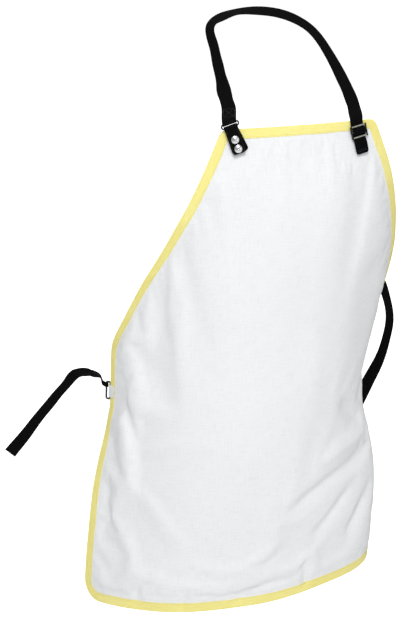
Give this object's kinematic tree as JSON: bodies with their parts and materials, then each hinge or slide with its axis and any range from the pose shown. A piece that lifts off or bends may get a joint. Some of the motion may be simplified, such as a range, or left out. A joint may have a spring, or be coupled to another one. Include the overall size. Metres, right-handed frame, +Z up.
{
  "type": "butcher apron",
  "caption": "Bib apron of heavy white cloth with folded yellow binding, black webbing neck loop with wire loop and slide, and webbing ties at the waist.",
  "frame": {"origin": "under the middle of the whole apron, level with the lowest point of its hem", "axes": "+Z up the apron from hem to neck loop, -Y out of the front face, +X to the right as seen from the front"},
  "size_m": [0.6964, 0.3022, 0.9396],
  "materials": {
    "cloth": "heavy white woven cloth, fine grain, matt",
    "binding": "yellow folded binding tape",
    "webbing": "black woven webbing, matt with a slight sheen",
    "wire": "black enamelled wire, semi gloss",
    "nickel": "nickel plated, bright",
    "slide_metal": "bronze-toned plated steel, worn on the bars"
  },
  "bodies": {
    "apron": {"apron_panel": "cloth", "bib_binding": "binding", "skirt_binding": "binding", "left_tab_base": "webbing", "snap_studs": "nickel", "snap_posts": "nickel", "right_shoulder_tab": "webbing", "right_tab_rivets": "nickel", "right_tab_burrs": "nickel", "left_waist_tab": "cloth", "right_waist_tab": "cloth"},
    "left_flap": {"left_tab_flap": "webbing", "snap_caps": "nickel", "snap_sockets": "nickel"},
    "shoulder_ring": {"left_shoulder_ring": "wire"},
    "slide": {"neck_slide": "slide_metal"},
    "neck_ends": {"neck_strap_left_end": "webbing", "neck_strap_right_end": "webbing"},
    "neck_loop": {"neck_strap_loop": "webbing"},
    "neck_tail": {"neck_strap_tail": "webbing"},
    "left_ring": {"left_waist_ring": "wire"},
    "left_strap": {"left_waist_strap_inner": "webbing"},
    "left_strap_end": {"left_waist_strap_outer": "webbing"},
    "right_ring": {"right_waist_ring": "wire"},
    "right_strap": {"right_waist_strap_inner": "webbing"},
    "right_strap_end": {"right_waist_strap_outer": "webbing"}
  },
  "joints": [
    {"name": "neck_swing", "type": "hinge", "parent": "apron", "child": "neck_ends", "pos_m": [-0.01131, -0.08064, 0.76766], "axis": [0.9982, -0.0246, -0.0547], "range_deg": [-3, 1]},
    {"name": "left_ring_pivot", "type": "hinge", "parent": "apron", "child": "shoulder_ring", "pos_m": [-0.01131, -0.08064, 0.76766], "axis": [0.9982, -0.0246, -0.0547], "range_deg": [-3, 1]},
    {"name": "slide_pivot", "type": "hinge", "parent": "apron", "child": "slide", "pos_m": [0.18937, -0.08559, 0.75667], "axis": [0.9982, -0.0246, -0.0547], "range_deg": [-3, 1]},
    {"name": "neck_fold", "type": "hinge", "parent": "neck_ends", "child": "neck_loop", "pos_m": [0.08787, -0.05297, 0.80582], "axis": [0.9999, 0.0121, -0.006], "range_deg": [-50, 130]},
    {"name": "tail_lift", "type": "hinge", "parent": "slide", "child": "neck_tail", "pos_m": [0.19153, -0.085, 0.74606], "axis": [-0.9557, -0.2103, -0.2061], "range_deg": [0, 60]},
    {"name": "flap_open", "type": "hinge", "parent": "apron", "child": "left_flap", "pos_m": [-0.01128, -0.08419, 0.76564], "axis": [-0.9236, 0.1857, -0.3354], "range_deg": [0, 110]},
    {"name": "left_waist_ring_pivot", "type": "hinge", "parent": "apron", "child": "left_ring", "pos_m": [-0.17932, 0.04636, 0.32869], "axis": [0.0627, 0.1092, 0.992], "range_deg": [-25, 25]},
    {"name": "left_strap_pivot", "type": "hinge", "parent": "left_ring", "child": "left_strap", "pos_m": [-0.18425, 0.05326, 0.32824], "axis": [0.0627, 0.1092, 0.992], "range_deg": [-30, 30]},
    {"name": "left_strap_bend", "type": "hinge", "parent": "left_strap", "child": "left_strap_end", "pos_m": [-0.23953, 0.12373, 0.32142], "axis": [-0.6849, -0.4643, 0.5615], "range_deg": [-45, 45]},
    {"name": "right_waist_ring_pivot", "type": "hinge", "parent": "apron", "child": "right_ring", "pos_m": [0.2442, 0.04768, 0.35155], "axis": [0.2, 0.1205, 0.9724], "range_deg": [-25, 25]},
    {"name": "right_strap_pivot", "type": "hinge", "parent": "right_ring", "child": "right_strap", "pos_m": [0.24626, 0.0558, 0.35012], "axis": [0.2, 0.1205, 0.9724], "range_deg": [-30, 30]},
    {"name": "right_strap_bend", "type": "hinge", "parent": "right_strap", "child": "right_strap_end", "pos_m": [0.31967, 0.13883, 0.46722], "axis": [0.4652, -0.8658, 0.1844], "range_deg": [-45, 45]}
  ],
  "couplings": [
    {"joint": "left_ring_pivot", "follows": "neck_swing", "ratio": 1},
    {"joint": "slide_pivot", "follows": "neck_swing", "ratio": 1}
  ]
}
